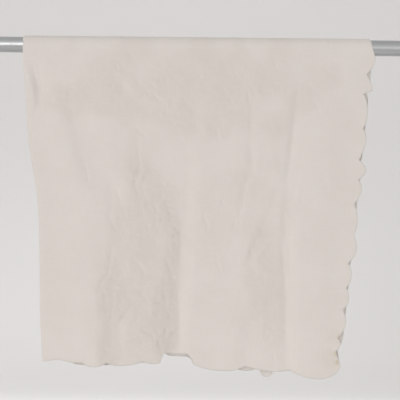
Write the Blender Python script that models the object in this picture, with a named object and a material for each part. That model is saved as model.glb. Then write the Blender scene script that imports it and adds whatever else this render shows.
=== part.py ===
"""A scalloped bedspread, folded double lengthwise and hung over a round rail.

Metres, +Z up, the side that faces the room towards -Y. The origin is the middle of the rail's left end
face, and the rail runs along +X. The bedspread is one cloth: it is doubled with its fold at the left and its
scalloped side edges at the right, and hangs down in front of the rail and behind it.
"""

import math
from collections import namedtuple

import bmesh
import bpy
import numpy as np
from mathutils import Matrix, Vector
from mathutils.geometry import delaunay_2d_cdt

# Rail
RAIL_DIAMETER = 0.042
RAIL_LENGTH = 1.2
RAIL_SIDES = 40
RAIL_CHAMFER = 0.0015

# Cloth
CLOTH_THICKNESS = 0.001
LAYER_HALF_STEP = 0.001
RAIL_CLEARANCE = 0.0006
WRAP_RADIUS = RAIL_DIAMETER / 2 + RAIL_CLEARANCE + CLOTH_THICKNESS / 2 + LAYER_HALF_STEP
QUARTER_WRAP = WRAP_RADIUS * math.pi / 2
NOSE_QUARTER = LAYER_HALF_STEP * math.pi / 2

# Half the distance between the layers, hanging free and at the open edges, and how wide its changes are
HANGING_HALF_STEP = 0.0017
EDGE_HALF_STEP = 0.003
OPENING_WIDTH = 0.12
NOSE_OPENING_WIDTH = 0.02

# Rows of the mesh, as drops below the rail's axis, and columns as shares of the width
WRAP_STEPS = 10
FRONT_ROW_STEP = 0.035
FRONT_LAST_ROW = 0.79
BACK_ROW_STEP = 0.062
BACK_LAST_ROW = 0.75
FIRST_ROW = 0.022
FRONT_COLUMNS = (
    0.012, 0.022, 0.031, 0.040, 0.050, 0.065, 0.09, 0.12, 0.16, 0.20, 0.235, 0.27, 0.305, 0.34, 0.37, 0.395,
    0.415, 0.432, 0.446,
    0.458, 0.469, 0.481, 0.50, 0.53, 0.57, 0.61, 0.645, 0.675, 0.70, 0.725, 0.75, 0.77, 0.785, 0.797, 0.809,
    0.821, 0.834, 0.85, 0.88, 0.92, 0.955,
)  # fmt: skip
WRAP_COLUMNS = (0.08, 0.22, 0.36, 0.50, 0.64, 0.78, 0.92)
BACK_COLUMNS = (0.06, 0.14, 0.22, 0.30, 0.38, 0.46, 0.54, 0.62, 0.70, 0.78, 0.86, 0.94)

# Scallops of the open edges
SCALLOP_PITCH = 0.068
SCALLOP_POINTS = (0.25, 0.65)

# The folded edge at the left: how far it is from the rail's left end at each drop
EdgePoint = namedtuple("EdgePoint", "drop x")
FRONT_FOLD_EDGE = (
    EdgePoint(0.000, 0.1262), EdgePoint(0.040, 0.1272), EdgePoint(0.080, 0.1302), EdgePoint(0.130, 0.1350),
    EdgePoint(0.185, 0.1382), EdgePoint(0.240, 0.1420), EdgePoint(0.305, 0.1510), EdgePoint(0.360, 0.1620),
    EdgePoint(0.413, 0.1690), EdgePoint(0.573, 0.1765), EdgePoint(0.733, 0.1800), EdgePoint(0.843, 0.1870),
)  # fmt: skip
BACK_FOLD_EDGE = (
    EdgePoint(0.000, 0.1262), EdgePoint(0.110, 0.1370), EdgePoint(0.240, 0.1500), EdgePoint(0.410, 0.1680),
    EdgePoint(0.610, 0.1800), EdgePoint(0.800, 0.1920),
)  # fmt: skip

# Notches between the scallops of an open edge. The scallop after each bulges most at a share of its length.
Notch = namedtuple("Notch", "drop x bulge peak roundness", defaults=(0.5, 2.4))
FRONT_SIDE = (
    Notch(0.0300, 1.0595, 0.0050, 0.45, 2.0), Notch(0.0734, 1.0367, 0.0227, 0.80, 1.4),
    Notch(0.1238, 1.0288, 0.0115, 0.55, 2.8), Notch(0.2158, 1.0281, 0.0125, 0.33, 1.8),
    Notch(0.2996, 1.0189, 0.0200, 0.50, 1.6), Notch(0.3526, 1.0179, 0.0135, 0.42, 2.0),
    Notch(0.4163, 1.0069, 0.0095, 0.50, 2.2), Notch(0.4985, 1.0072, 0.0160, 0.60, 1.9),
    Notch(0.5729, 0.9926, 0.0115, 0.50, 2.0), Notch(0.6391, 0.9893, 0.0110, 0.55, 1.9),
    Notch(0.6975, 0.9806, 0.0140, 0.50, 1.8), Notch(0.7730, 0.9668, 0.0105, 0.50, 2.0),
    Notch(0.8074, 0.9619, 0.0000),
)  # fmt: skip
FRONT_HEM = (
    Notch(0.8409, 0.1870, 0.0011), Notch(0.8333, 0.2267, 0.0037, 0.60, 2.0),
    Notch(0.8419, 0.2917, 0.0117, 0.50, 2.2), Notch(0.8426, 0.3553, 0.0095, 0.35, 2.4),
    Notch(0.8390, 0.4534, 0.0042, 0.45, 2.0), Notch(0.8425, 0.4971, 0.0000),
    Notch(0.8169, 0.5062, 0.0000), Notch(0.8178, 0.5698, 0.0000), Notch(0.8289, 0.5819, 0.0000),
    Notch(0.8443, 0.5872, 0.0145, 0.60, 2.2),
    Notch(0.8481, 0.7238, 0.0080, 0.60, 2.0), Notch(0.8575, 0.8431, 0.0180, 0.62, 2.0),
    Notch(0.8652, 0.9638, 0.0016, 0.50, 2.0), Notch(0.8460, 0.9761, 0.0000),
)  # fmt: skip
INNER_FRONT_HEM = (
    Notch(0.8330, 0.1860, 0.0030), Notch(0.8320, 0.2500, 0.0130), Notch(0.8380, 0.3180, 0.0090),
    Notch(0.8420, 0.3780, 0.0060), Notch(0.8350, 0.4320, 0.0090), Notch(0.8310, 0.4970, 0.0000),
    Notch(0.8150, 0.5060, 0.0000), Notch(0.8235, 0.5240, 0.0010), Notch(0.8235, 0.5700, 0.0000),
    Notch(0.8330, 0.5860, 0.0100), Notch(0.8400, 0.6300, 0.0100), Notch(0.8460, 0.6900, 0.0140),
    Notch(0.8470, 0.7620, 0.0290, 0.50, 3.0), Notch(0.8470, 0.8020, 0.0100), Notch(0.8520, 0.8560, 0.0130),
    Notch(0.8580, 0.9200, 0.0060), Notch(0.8480, 0.9740, 0.0000),
)  # fmt: skip

# The side edges that no table gives: a straight mean line from the rail down, with even scallops
SideLine = namedtuple("SideLine", "top_x bottom_x first_notch last_notch bulge")
INNER_FRONT_SIDE = SideLine(1.042, 0.966, 0.045, 0.800, 0.013)
OUTER_BACK_SIDE = SideLine(1.034, 0.958, 0.060, 0.720, 0.013)
INNER_BACK_SIDE = SideLine(1.030, 0.954, 0.030, 0.700, 0.013)
WRAP_SIDE_X = 1.0505
WRAP_SIDE_BULGE = -0.0045

# The hems behind the rail
BackHem = namedtuple("BackHem", "left_drop right_drop bulge count")
OUTER_BACK_HEM = BackHem(0.785, 0.805, 0.011, 11)
INNER_BACK_HEM = BackHem(0.778, 0.798, 0.011, 10)

# Folds of the cloth in front and behind. Each runs from a start to an end drop along three shares of the
# width. A positive depth is a valley, towards the rail. A fold that reaches the hem keeps its depth there.
Fold = namedtuple("Fold", "start end at_start at_middle at_end left_width right_width depth reaches_hem")
FRONT_FOLDS = (
    # The trough left of the middle: broad descent, deep part, step at its left, ridge at its right
    Fold(0.24, 0.86, 0.470, 0.464, 0.450, 0.190, 0.050, 0.0045, True),
    Fold(0.34, 0.86, 0.469, 0.464, 0.452, 0.070, 0.034, 0.006, True),
    Fold(0.30, 0.86, 0.238, 0.252, 0.236, 0.032, 0.064, 0.0032, True),
    Fold(0.40, 0.86, 0.490, 0.483, 0.475, 0.020, 0.070, -0.0008, True),
    # The valley right of the middle, and its wide lower part
    Fold(0.09, 0.86, 0.806, 0.797, 0.834, 0.022, 0.036, 0.0026, True),
    Fold(0.42, 0.86, 0.792, 0.806, 0.832, 0.100, 0.042, 0.005, True),
    Fold(0.30, 0.62, 0.798, 0.730, 0.655, 0.018, 0.022, 0.0022, False),
    Fold(0.06, 0.52, 0.664, 0.679, 0.625, 0.018, 0.020, 0.0016, False),
    Fold(0.66, 0.86, 0.700, 0.700, 0.700, 0.036, 0.044, 0.0025, True),
    # The left side: the deep fold by the folded edge, and the soft slanting valley
    Fold(0.03, 0.20, 0.024, 0.037, 0.041, 0.016, 0.050, 0.011, False),
    Fold(0.10, 0.40, 0.114, 0.157, 0.186, 0.040, 0.070, 0.0045, False),
    Fold(0.20, 0.86, 0.140, 0.150, 0.150, 0.090, 0.070, -0.004, True),
    Fold(0.10, 0.86, 0.900, 0.900, 0.910, 0.110, 0.070, -0.003, True),
    Fold(0.10, 0.40, 0.300, 0.300, 0.300, 0.050, 0.050, 0.002, False),
)
BACK_FOLDS = (
    Fold(0.12, 0.82, 0.200, 0.210, 0.220, 0.110, 0.090, 0.007, True),
    Fold(0.20, 0.82, 0.400, 0.390, 0.400, 0.080, 0.090, -0.008, True),
    Fold(0.10, 0.82, 0.600, 0.590, 0.580, 0.090, 0.070, 0.008, True),
    Fold(0.25, 0.82, 0.800, 0.810, 0.800, 0.080, 0.090, -0.007, True),
)
FOLD_FADE = 0.10
SLOPE_STEP = 0.0005
NEARNESS = 1e-7

# The places of the round fold at the left, and the runs at which it ends, in front of the rail and behind it
NOSE_SHARES = (-1.0, -0.33, 0.33, 1.0)
FRONT_NOSE_END = -(QUARTER_WRAP + FRONT_HEM[0].drop)
BACK_NOSE_END = QUARTER_WRAP + OUTER_BACK_HEM.left_drop

CLOTH_COLOUR = (0.77, 0.72, 0.68, 1.0)
CLOTH_ROUGHNESS = 0.92
RAIL_COLOUR = (0.62, 0.63, 0.65, 1.0)
RAIL_ROUGHNESS = 0.22


def smooth_step(low, high, value):
    """0 below low, 1 above high, with a soft change between them."""
    share = min(max((value - low) / (high - low), 0.0), 1.0)
    return share * share * (3.0 - 2.0 * share)


def along(points, drop):
    """The x of an edge at a drop, on a smooth curve through the points of its table."""
    drops = np.array([point.drop for point in points])
    places = np.array([point.x for point in points])
    slopes = np.gradient(places, drops)
    drop = min(max(drop, drops[0]), drops[-1])
    index = min(int(np.searchsorted(drops, drop, side="right")) - 1, len(points) - 2)
    length = drops[index + 1] - drops[index]
    share = (drop - drops[index]) / length
    rest = 1.0 - share
    upper = (1.0 + 2.0 * share) * rest**2 * places[index] + share * rest**2 * length * slopes[index]
    lower = share**2 * (3.0 - 2.0 * share) * places[index + 1] - share**2 * rest * length * slopes[index + 1]
    return float(upper + lower)


def drop_of(run):
    """How far below the rail's axis a run of cloth from the crest has come. It is 0 on the wrap."""
    return max(abs(run) - QUARTER_WRAP, 0.0)


def fold_edge(run):
    """The x of the folded edge. Runs below 0 are in front of the rail."""
    return along(FRONT_FOLD_EDGE if run < 0 else BACK_FOLD_EDGE, drop_of(run))


def side_mean(run):
    """The mean x of the open side edge, which the columns and folds share."""
    line = INNER_FRONT_SIDE if run < 0 else OUTER_BACK_SIDE
    return line.top_x + (line.bottom_x - line.top_x) * drop_of(run) / line.last_notch


def fold_relief(fold, x, drop, left, width):
    """How far one fold moves the cloth at a place, towards the other side of the rail."""
    if drop <= fold.start or (drop >= fold.end and not fold.reaches_hem):
        return 0.0
    share = min((drop - fold.start) / (fold.end - fold.start), 1.0)
    halves = (fold.at_start, fold.at_middle, fold.at_end)
    first = 0 if share < 0.5 else 1
    part = halves[first] + (halves[first + 1] - halves[first]) * (share - 0.5 * first) * 2.0
    across = x - (left + part * width)
    across /= fold.left_width if across < 0 else fold.right_width
    if abs(across) >= 1.0:
        return 0.0
    depth = fold.depth * smooth_step(0.0, FOLD_FADE, drop - fold.start)
    if not fold.reaches_hem:
        depth *= smooth_step(0.0, FOLD_FADE, fold.end - drop)
    return depth * 0.5 * (1.0 + math.cos(math.pi * across))


def middle_surface(x, run):
    """A point of the surface halfway between the two layers."""
    angle = min(max(run / WRAP_RADIUS, -math.pi / 2), math.pi / 2)
    drop = drop_of(run)
    left = fold_edge(run)
    width = side_mean(run) - left
    folds = FRONT_FOLDS if run < 0 else BACK_FOLDS
    relief = sum(fold_relief(fold, x, drop, left, width) for fold in folds)
    y = WRAP_RADIUS * math.sin(angle) + (relief if run < 0 else -relief)
    return Vector((x, y, WRAP_RADIUS * math.cos(angle) - drop))


def outward(x, run):
    """The direction square to the cloth, away from the rail."""
    across = middle_surface(x + SLOPE_STEP, run) - middle_surface(x - SLOPE_STEP, run)
    upward = middle_surface(x, run + SLOPE_STEP) - middle_surface(x, run - SLOPE_STEP)
    return across.cross(upward).normalized()


def half_step(x, run):
    """Half the distance between the layers, which open below the rail and towards the open edges."""
    near_side = smooth_step(side_mean(run) - OPENING_WIDTH, side_mean(run), x)
    near_hem = smooth_step(FRONT_LAST_ROW - OPENING_WIDTH, FRONT_LAST_ROW, drop_of(run))
    free = HANGING_HALF_STEP + (EDGE_HALF_STEP - HANGING_HALF_STEP) * max(near_side, near_hem)
    away_from_rail = smooth_step(0.0, OPENING_WIDTH, drop_of(run))
    away_from_fold = smooth_step(0.0, NOSE_OPENING_WIDTH, x - fold_edge(run))
    return LAYER_HALF_STEP + (free - LAYER_HALF_STEP) * away_from_rail * away_from_fold


def width_place(x, run):
    """The distance across the cloth from its fold to a given x."""
    return x - fold_edge(run) - LAYER_HALF_STEP + NOSE_QUARTER


def cloth_point(across, run):
    """The place of a point of the flat cloth. Across is below 0 on the outer layer, above 0 on the inner."""
    if abs(across) < NOSE_QUARTER:
        angle = across / LAYER_HALF_STEP
        x = fold_edge(run) + LAYER_HALF_STEP * (1.0 - math.cos(angle))
        return middle_surface(x, run) - outward(x, run) * LAYER_HALF_STEP * math.sin(angle)
    x = fold_edge(run) + LAYER_HALF_STEP + abs(across) - NOSE_QUARTER
    return middle_surface(x, run) - outward(x, run) * math.copysign(half_step(x, run), across)


def scalloped(notches):
    """Points along an edge given as (along, out, notch) at each notch, with the notch's scallop after it."""
    points = []
    for (start, out, notch), (end, next_out, _) in zip(notches, notches[1:]):
        rising = [(notch.peak * part, 1.0 - part) for part in (0.0,) + SCALLOP_POINTS]
        falling = [(1.0 - (1.0 - notch.peak) * part, 1.0 - part) for part in SCALLOP_POINTS[::-1]]
        for share, from_peak in rising + [(notch.peak, 0.0)] + falling:
            rise = notch.bulge * (1.0 - from_peak**notch.roundness)
            points.append((start + (end - start) * share, out + (next_out - out) * share + rise))
    points.append(notches[-1][:2])
    return points


def even_notches(line, sign):
    """The notches of a side edge that follows a straight mean line, from the rail down."""
    count = round((line.last_notch - line.first_notch) / SCALLOP_PITCH)
    notches = []
    for index in range(count + 1):
        drop = line.first_notch + (line.last_notch - line.first_notch) * index / count
        x = line.top_x + (line.bottom_x - line.top_x) * drop / line.last_notch
        notches.append((sign * (drop + QUARTER_WRAP), x, Notch(drop, x, line.bulge)))
    return notches


def side_edge(front_notches, back_notches):
    """Points of one open side edge, from the front hem over the rail to the back hem, as (run, x)."""
    front = scalloped(front_notches)[::-1]
    back = scalloped(back_notches)
    wrap = [(run, WRAP_SIDE_X + WRAP_SIDE_BULGE * math.cos(run / WRAP_RADIUS)) for run in wrap_runs()]
    return front + wrap + back


def wrap_runs():
    """The runs of the rows that go round the top of the rail."""
    return [QUARTER_WRAP * (2.0 * step / WRAP_STEPS - 1.0) for step in range(WRAP_STEPS + 1)]


def table_side(notches):
    """The notches of a front side table, as (run, x, notch)."""
    return [(-(notch.drop + QUARTER_WRAP), notch.x, notch) for notch in notches]


def hem_edge(notches):
    """Points of a front hem from the fold to the side edge, as (x, drop)."""
    return scalloped([(notch.x, notch.drop, notch) for notch in notches])


def back_hem_edge(hem, side_x):
    """Points of a hem behind the rail, from the fold to the side edge, as (x, drop)."""
    left = fold_edge(QUARTER_WRAP + hem.left_drop) + LAYER_HALF_STEP
    notches = []
    for index in range(hem.count + 1):
        share = index / hem.count
        drop = hem.left_drop + (hem.right_drop - hem.left_drop) * share
        x = left + (side_x - left) * share
        notches.append((x, drop, Notch(drop, x, hem.bulge)))
    return scalloped(notches)


def flat_edge(points, sign, layer):
    """Hem points (x, drop) as places on the flat cloth. The sign is that of the run."""
    runs = [(x, sign * (drop + QUARTER_WRAP)) for x, drop in points]
    return [(layer * width_place(x, run), run) for x, run in runs]


def flat_side(points, layer):
    """Side edge points (run, x) as places on the flat cloth."""
    return [(layer * width_place(x, run), run) for run, x in points]


def nose_at(run):
    """The places of one run where the cloth turns round its fold."""
    return [(NOSE_QUARTER * share, run) for share in NOSE_SHARES]


def flat_outline():
    """The outline of the flat cloth, as places (across, run) in order round it."""
    outer_side = side_edge(table_side(FRONT_SIDE), even_notches(OUTER_BACK_SIDE, 1))
    inner_side = side_edge(even_notches(INNER_FRONT_SIDE, -1), even_notches(INNER_BACK_SIDE, 1))
    outer_front = flat_edge(hem_edge(FRONT_HEM), -1, -1)
    inner_front = flat_edge(hem_edge(INNER_FRONT_HEM), -1, 1)
    outer_back = flat_edge(back_hem_edge(OUTER_BACK_HEM, OUTER_BACK_SIDE.bottom_x), 1, -1)
    inner_back = flat_edge(back_hem_edge(INNER_BACK_HEM, INNER_BACK_SIDE.bottom_x), 1, 1)
    front_nose = nose_at(FRONT_NOSE_END)[::-1]
    back_nose = nose_at(BACK_NOSE_END)
    outline = flat_side(outer_side, -1) + outer_back[::-1][:-1] + back_nose + inner_back[1:]
    outline += flat_side(inner_side, 1)[::-1] + inner_front[::-1][:-1] + front_nose + outer_front[1:]
    return outline


def row_runs():
    """The runs of the mesh's rows with the columns that each has, from the front hem to the back one."""
    rows = []
    front_count = round((FRONT_LAST_ROW - FIRST_ROW) / FRONT_ROW_STEP)
    for index in range(front_count + 1):
        drop = FRONT_LAST_ROW - (FRONT_LAST_ROW - FIRST_ROW) * index / front_count
        rows.append((-(drop + QUARTER_WRAP), FRONT_COLUMNS, False))
    rows += [(run, WRAP_COLUMNS, True) for run in wrap_runs()]
    back_count = round((BACK_LAST_ROW - FIRST_ROW) / BACK_ROW_STEP)
    for index in range(back_count + 1):
        drop = FIRST_ROW + (BACK_LAST_ROW - FIRST_ROW) * index / back_count
        rows.append((drop + QUARTER_WRAP, BACK_COLUMNS, False))
    return rows


def flat_mesh():
    """The flat cloth as triangles: its outline, and rows across it that the triangles never cross."""
    outline = flat_outline()
    places = list(outline)
    edges = [(index, (index + 1) % len(outline)) for index in range(len(outline))]
    outer_ends = {run: index for index, (across, run) in enumerate(outline) if across < 0}
    inner_ends = {run: index for index, (across, run) in enumerate(outline) if across > 0}
    last_nose = [outline.index(place) for place in nose_at(FRONT_NOSE_END)]
    for run, columns, reaches_edge in row_runs():
        width = width_place(side_mean(run), run)
        row_places = [(-share * width, run) for share in reversed(columns)]
        row_places += nose_at(run) + [(share * width, run) for share in columns]
        row = list(range(len(places), len(places) + len(row_places)))
        places += row_places
        nose = row[len(columns) : len(columns) + len(NOSE_SHARES)]
        edges += list(zip(last_nose, nose))
        last_nose = nose
        if reaches_edge:
            row = [outer_ends[run]] + row + [inner_ends[run]]
        edges += list(zip(row, row[1:]))
    edges += list(zip(last_nose, [outline.index(place) for place in nose_at(BACK_NOSE_END)]))
    flat, _, faces, *_ = delaunay_2d_cdt([Vector(place) for place in places], edges, [], 1, NEARNESS)
    return flat, faces


def keep_inside(flat, faces, outline):
    """The faces whose middle lies inside the outline."""
    kept = []
    for face in faces:
        x = sum(flat[index][0] for index in face) / len(face)
        y = sum(flat[index][1] for index in face) / len(face)
        inside = False
        for (x1, y1), (x2, y2) in zip(outline, outline[1:] + outline[:1]):
            if (y1 > y) != (y2 > y) and x < x1 + (x2 - x1) * (y - y1) / (y2 - y1):
                inside = not inside
        if inside:
            kept.append(face)
    return kept


def make_material(name, colour, roughness, metallic):
    """A plain surface of one colour."""
    material = bpy.data.materials.new(name)
    material.use_nodes = True
    shader = material.node_tree.nodes["Principled BSDF"]
    shader.inputs["Base Color"].default_value = colour
    shader.inputs["Roughness"].default_value = roughness
    shader.inputs["Metallic"].default_value = metallic
    return material


def make_object(name, mesh, material):
    """An object that holds a mesh, in the scene."""
    mesh.materials.append(material)
    thing = bpy.data.objects.new(name, mesh)
    bpy.context.scene.collection.objects.link(thing)
    return thing


def make_bedspread():
    """The doubled cloth over the rail, as one sheet with its thickness."""
    flat, faces = flat_mesh()
    faces = keep_inside(flat, faces, flat_outline())
    mesh = bpy.data.meshes.new("bedspread")
    mesh.from_pydata([cloth_point(*place) for place in flat], [], faces)
    shape = bmesh.new()
    shape.from_mesh(mesh)
    loose = [vertex for vertex in shape.verts if not vertex.link_faces]
    bmesh.ops.delete(shape, geom=loose, context="VERTS")
    bmesh.ops.recalc_face_normals(shape, faces=shape.faces)
    shape.to_mesh(mesh)
    shape.free()
    mesh.shade_smooth()
    thing = make_object("bedspread", mesh, make_material("cloth", CLOTH_COLOUR, CLOTH_ROUGHNESS, 0.0))
    thickness = thing.modifiers.new("cloth thickness", "SOLIDIFY")
    thickness.thickness = CLOTH_THICKNESS
    thickness.offset = 0.0
    return thing


def make_rail():
    """The round rail, with flat ends and a small chamfer round each."""
    radius = RAIL_DIAMETER / 2
    shape = bmesh.new()
    bmesh.ops.create_cone(
        shape, cap_ends=True, segments=RAIL_SIDES, radius1=radius, radius2=radius, depth=RAIL_LENGTH
    )
    rims = [edge for edge in shape.edges if any(len(face.verts) > 4 for face in edge.link_faces)]
    bmesh.ops.bevel(shape, geom=rims, offset=RAIL_CHAMFER, segments=1, affect="EDGES")
    along_x = Matrix.Rotation(math.pi / 2, 4, "Y")
    bmesh.ops.transform(shape, matrix=along_x, verts=shape.verts)
    mesh = bpy.data.meshes.new("rail")
    shape.to_mesh(mesh)
    shape.free()
    mesh.shade_smooth()
    mesh.set_sharp_from_angle(angle=math.radians(30))
    thing = make_object("rail", mesh, make_material("bright metal", RAIL_COLOUR, RAIL_ROUGHNESS, 1.0))
    thing.location = (RAIL_LENGTH / 2, 0.0, 0.0)
    return thing


for old in list(bpy.data.objects):
    bpy.data.objects.remove(old, do_unlink=True)
make_rail()
make_bedspread()
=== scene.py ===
"""The looks of a scalloped bedspread that is folded double and hung over a round rail.

Everything is in metres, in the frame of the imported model: the origin is the middle of the rail's left end face,
+X runs along the rail, the side that faces the room is towards -Y, and +Z is up.
"""

import logging
import math
from dataclasses import dataclass
from enum import Enum

import bmesh
import bpy
import numpy as np
from mathutils import Matrix, Vector, kdtree
from mathutils.geometry import delaunay_2d_cdt


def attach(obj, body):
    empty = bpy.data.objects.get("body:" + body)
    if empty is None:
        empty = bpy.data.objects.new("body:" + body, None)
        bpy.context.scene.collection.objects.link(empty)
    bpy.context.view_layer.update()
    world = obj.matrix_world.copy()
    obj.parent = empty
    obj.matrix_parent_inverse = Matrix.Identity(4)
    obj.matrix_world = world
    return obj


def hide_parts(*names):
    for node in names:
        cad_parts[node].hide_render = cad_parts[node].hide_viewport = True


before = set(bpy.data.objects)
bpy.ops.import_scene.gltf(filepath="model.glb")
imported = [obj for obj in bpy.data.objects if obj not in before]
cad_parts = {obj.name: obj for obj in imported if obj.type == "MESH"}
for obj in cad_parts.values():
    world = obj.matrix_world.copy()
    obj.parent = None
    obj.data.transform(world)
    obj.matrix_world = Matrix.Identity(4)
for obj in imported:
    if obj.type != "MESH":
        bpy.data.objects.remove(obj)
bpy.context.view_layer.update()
log = logging.getLogger("bedspread")

Triple = tuple[float, float, float]
Colour = tuple[float, float, float, float]
Path2D = list[tuple[float, float]]
Socket = bpy.types.NodeSocket

RAIL_RADIUS = 0.021
RAGGED_SEED, CRUMPLE_SEED, PATCHY_SEED, STITCH_SEED = 51, 11, 31, 7


class Layer(Enum):
    """The two layers of the doubled cloth, as the sign of the distance across from its fold."""

    OUTER = -1
    INNER = 1


class Side(Enum):
    """The two drops of the cloth, as the sign of the run from the crest over the rail."""

    FRONT = -1
    BACK = 1


@dataclass(frozen=True)
class EdgePoint:
    """Where the folded edge is at one drop below the rail's axis."""

    drop: float
    x: float


@dataclass(frozen=True)
class Notch:
    """A notch between two scallops, and the scallop after it: how far it bulges, at which share, how round."""

    drop: float
    x: float
    bulge: float
    peak: float = 0.5
    roundness: float = 2.4


@dataclass(frozen=True)
class SideLine:
    """A straight side edge with even scallops, from its first notch down to its last."""

    top_x: float
    bottom_x: float
    first_notch: float
    last_notch: float
    bulge: float


@dataclass(frozen=True)
class BackHem:
    """A hem behind the rail."""

    left_drop: float
    right_drop: float
    bulge: float
    count: int


@dataclass(frozen=True)
class Fold:
    """A long fold along three shares of the width. A positive depth is a valley, towards the rail."""

    start: float
    end: float
    at_start: float
    at_middle: float
    at_end: float
    left_width: float
    right_width: float
    depth: float
    reaches_hem: bool = True


@dataclass(frozen=True)
class Crease:
    """A short crease between two places of the front. A positive depth goes towards the rail."""

    x: float
    drop: float
    to_x: float
    to_drop: float
    width: float
    depth: float

    def local(self, x: np.ndarray, drop: np.ndarray) -> tuple[np.ndarray, np.ndarray, float]:
        """Places of the front as seen from the crease.

        Args:
            x: places along the rail.
            drop: drops of the places.

        Returns:
            Their shares along the crease, their distances to its side, and its length.
        """
        run_x, run_drop = self.to_x - self.x, self.to_drop - self.drop
        length = math.hypot(run_x, run_drop)
        along = ((x - self.x) * run_x + (drop - self.drop) * run_drop) / length**2
        side = ((x - self.x) * run_drop - (drop - self.drop) * run_x) / length
        return along, side, length


@dataclass(frozen=True)
class CrumpledPatch:
    """An oval patch of the front that is finely crumpled, where the cloth's colour is also darkened as painted
    shade. A ridge_x ends it at a ridge on its right.
    """

    x: float
    drop: float
    half_width: float
    half_height: float
    strength: float
    ridge_x: float = 2.0


@dataclass(frozen=True)
class CrestWrinkle:
    """A small wrinkle that runs over the top of the rail."""

    x: float
    width: float
    height: float


def in_metres(kind: type, rows: tuple[tuple[int, ...], ...]) -> tuple:
    """Rows of lengths in tenths of a millimetre, as things of one kind in metres."""
    return tuple(kind(*(value / 10000 for value in row)) for row in rows)


FRONT_FOLD_EDGE = in_metres(EdgePoint, (
    (0, 1262), (400, 1272), (800, 1302), (1300, 1350), (1850, 1382), (2400, 1420), (3050, 1510),
    (3600, 1620), (4130, 1690), (5730, 1765), (7330, 1800), (8430, 1870),
))  # fmt: skip
BACK_FOLD_EDGE = in_metres(EdgePoint, (
    (0, 1262), (1100, 1370), (2400, 1500), (4100, 1680), (6100, 1800), (8000, 1920),
))  # fmt: skip
FRONT_SIDE = (
    Notch(0.0300, 1.0595, 0.0050, 0.45, 2.0), Notch(0.0734, 1.0367, 0.0227, 0.80, 1.4),
    Notch(0.1238, 1.0288, 0.0115, 0.55, 2.8), Notch(0.2158, 1.0281, 0.0125, 0.33, 1.8),
    Notch(0.2996, 1.0189, 0.0200, 0.50, 1.6), Notch(0.3526, 1.0179, 0.0135, 0.42, 2.0),
    Notch(0.4163, 1.0069, 0.0095, 0.50, 2.2), Notch(0.4985, 1.0072, 0.0160, 0.60, 1.9),
    Notch(0.5729, 0.9926, 0.0115, 0.50, 2.0), Notch(0.6391, 0.9893, 0.0110, 0.55, 1.9),
    Notch(0.6975, 0.9806, 0.0140, 0.50, 1.8), Notch(0.7730, 0.9668, 0.0105, 0.50, 2.0),
    Notch(0.8074, 0.9619, 0.0000),
)  # fmt: skip
FRONT_HEM = (
    Notch(0.8409, 0.1870, 0.0011), Notch(0.8333, 0.2267, 0.0037, 0.60, 2.0),
    Notch(0.8419, 0.2917, 0.0117, 0.50, 2.2), Notch(0.8426, 0.3553, 0.0095, 0.35, 2.4),
    Notch(0.8390, 0.4534, 0.0042, 0.45, 2.0), Notch(0.8425, 0.4971, 0.0000),
    Notch(0.8169, 0.5062, 0.0000), Notch(0.8178, 0.5698, 0.0000), Notch(0.8289, 0.5819, 0.0000),
    Notch(0.8443, 0.5872, 0.0145, 0.60, 2.2),
    Notch(0.8481, 0.7238, 0.0080, 0.60, 2.0), Notch(0.8575, 0.8431, 0.0180, 0.62, 2.0),
    Notch(0.8652, 0.9638, 0.0016, 0.50, 2.0), Notch(0.8460, 0.9761, 0.0000),
)  # fmt: skip
INNER_FRONT_HEM = (
    Notch(0.8330, 0.1860, 0.0030), Notch(0.8320, 0.2500, 0.0130), Notch(0.8380, 0.3180, 0.0090),
    Notch(0.8420, 0.3780, 0.0060), Notch(0.8350, 0.4320, 0.0090), Notch(0.8310, 0.4970, 0.0000),
    Notch(0.8150, 0.5060, 0.0000), Notch(0.8235, 0.5240, 0.0010), Notch(0.8235, 0.5700, 0.0000),
    Notch(0.8330, 0.5860, 0.0100), Notch(0.8400, 0.6300, 0.0100), Notch(0.8460, 0.6900, 0.0140),
    Notch(0.8470, 0.7620, 0.0290, 0.50, 3.0), Notch(0.8470, 0.8020, 0.0100), Notch(0.8520, 0.8560, 0.0130),
    Notch(0.8580, 0.9200, 0.0060), Notch(0.8480, 0.9740, 0.0000),
)  # fmt: skip
INNER_FRONT_SIDE = SideLine(1.042, 0.966, 0.045, 0.800, 0.013)
OUTER_BACK_SIDE = SideLine(1.034, 0.958, 0.060, 0.720, 0.013)
INNER_BACK_SIDE = SideLine(1.030, 0.954, 0.030, 0.700, 0.013)
OUTER_BACK_HEM = BackHem(0.785, 0.805, 0.011, 11)
INNER_BACK_HEM = BackHem(0.778, 0.798, 0.011, 10)

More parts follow.
